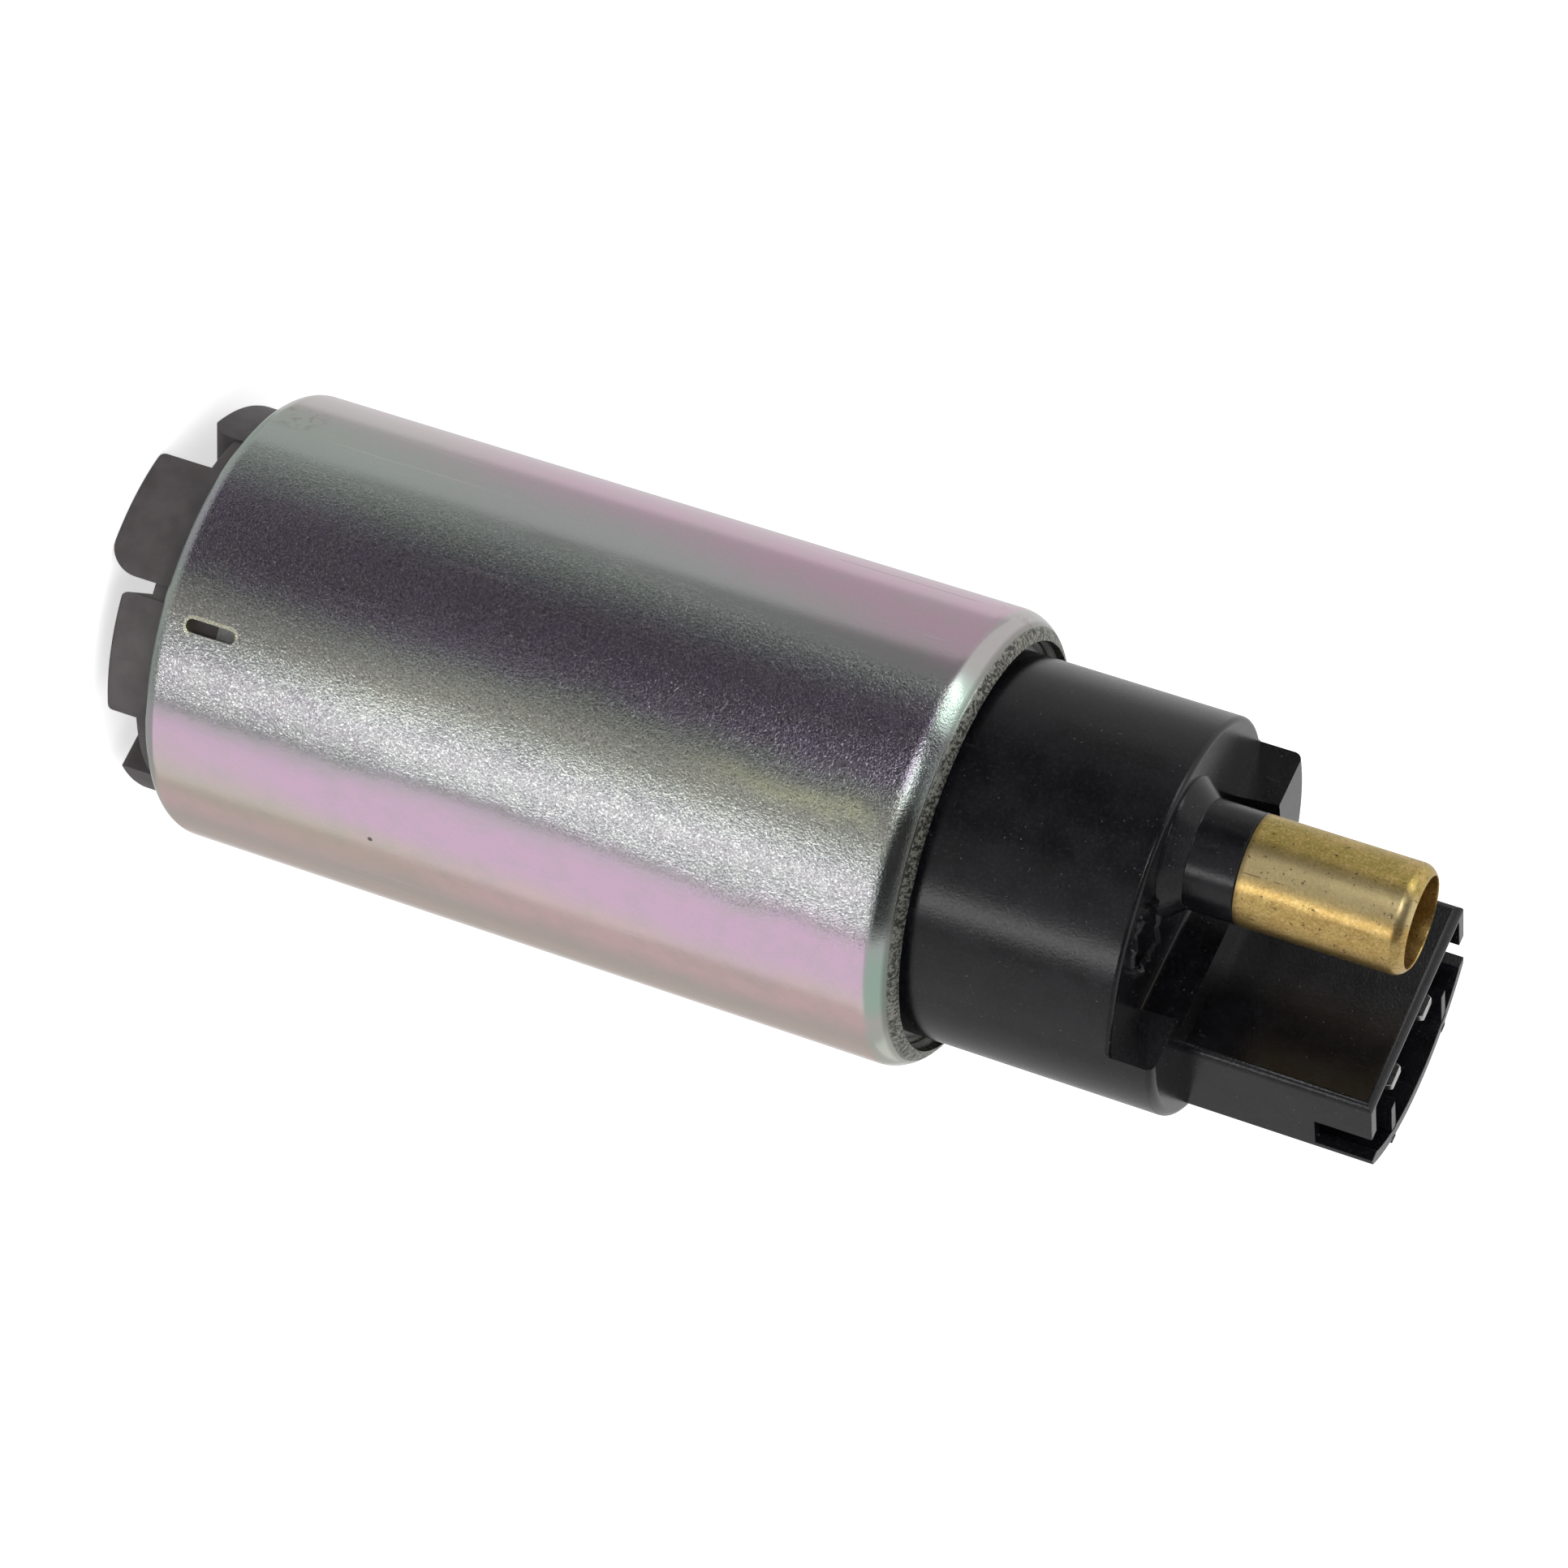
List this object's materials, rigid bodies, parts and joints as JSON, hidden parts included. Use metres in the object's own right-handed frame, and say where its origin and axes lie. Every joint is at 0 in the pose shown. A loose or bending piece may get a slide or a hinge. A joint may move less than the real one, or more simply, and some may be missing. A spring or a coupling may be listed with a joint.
{
  "type": "in-tank fuel pump",
  "caption": "Cylindrical in-tank electric fuel pump with a rolled steel casing, a moulded end head with socket and brass outlet, and a footed inlet cover.",
  "frame": {"origin": "on the axis of the casing, in the plane of the three long feet of the inlet cover", "axes": "+Z along the casing axis towards the outlet, +Y towards the outlet tube, -Y towards the electrical socket"},
  "size_m": [0.038, 0.038, 0.1094],
  "materials": {
    "plated_steel": "iridescent yellow-pink plating",
    "black_moulding": "fine grained, slight sheen",
    "dark_moulding": "dull dark grey-brown",
    "brown_moulding": "dull",
    "pale_moulding": "smooth",
    "brass": "drawn, lightly aged",
    "bronze": "sintered",
    "tinned": "tinned",
    "bright_steel": "ground",
    "lamination": "stacked sheet",
    "copper": "enamelled or bare copper",
    "insulator": "sheet fibre",
    "ferrite": "sintered",
    "carbon": "pressed carbon",
    "cast_alloy": "die cast",
    "ceramic": "polished",
    "seal": "smooth rubber"
  },
  "bodies": {
    "housing": {"casing": "plated_steel", "inlet_cover": "dark_moulding", "thrust_pad": "ceramic", "pump_body": "cast_alloy", "lower_bearing": "bronze", "magnet_a": "ferrite", "magnet_b": "ferrite", "magnet_clip_a": "bright_steel", "magnet_clip_b": "bright_steel", "end_head": "black_moulding", "head_seal": "seal", "upper_bearing": "bronze", "outlet_sleeve": "brass", "terminal_positive": "tinned", "terminal_negative": "tinned", "choke_core_a": "ferrite", "choke_core_b": "ferrite", "choke_coil_a": "copper", "choke_coil_b": "copper", "check_seat": "brass", "check_guide": "pale_moulding", "relief_retainer": "brass", "check_spring": "bright_steel", "relief_spring": "bright_steel", "brush_spring_a": "bright_steel", "brush_spring_b": "bright_steel", "pigtail_a": "copper", "pigtail_b": "copper"},
    "rotor": {"shaft": "bright_steel", "armature_core": "lamination", "winding": "copper", "insulator_lower": "insulator", "insulator_upper": "insulator", "commutator_hub": "brown_moulding", "commutator_bar_1": "copper", "commutator_bar_2": "copper", "commutator_bar_3": "copper", "commutator_bar_4": "copper", "commutator_bar_5": "copper", "commutator_bar_6": "copper", "commutator_bar_7": "copper", "commutator_bar_8": "copper", "impeller": "brown_moulding"},
    "check_valve": {"check_poppet": "pale_moulding", "poppet_seal": "seal"},
    "relief_valve": {"relief_ball": "bright_steel"},
    "positive_brush": {"brush_a": "carbon"},
    "negative_brush": {"brush_b": "carbon"}
  },
  "joints": [
    {"name": "rotor_spin", "type": "hinge", "parent": "housing", "child": "rotor", "pos_m": [0, 0, 0.04], "axis": [0, 0, 1], "continuous": true},
    {"name": "check_valve_lift", "type": "slide", "parent": "housing", "child": "check_valve", "axis": [0, 0, 1], "range_m": [0, 0.0025], "stiffness_N_per_m": 120, "springref_m": -0.002, "deforming": ["check_spring"]},
    {"name": "relief_valve_lift", "type": "slide", "parent": "housing", "child": "relief_valve", "axis": [0, 0, 1], "range_m": [0, 0.0012], "stiffness_N_per_m": 2000, "springref_m": -0.002, "deforming": ["relief_spring"]},
    {"name": "brush_a_slide", "type": "slide", "parent": "housing", "child": "positive_brush", "axis": [0, 0, 1], "range_m": [0, 0.003], "stiffness_N_per_m": 60, "springref_m": -0.01, "deforming": ["brush_spring_a", "pigtail_a"]},
    {"name": "brush_b_slide", "type": "slide", "parent": "housing", "child": "negative_brush", "axis": [0, 0, 1], "range_m": [0, 0.003], "stiffness_N_per_m": 60, "springref_m": -0.01, "deforming": ["brush_spring_b", "pigtail_b"]}
  ]
}
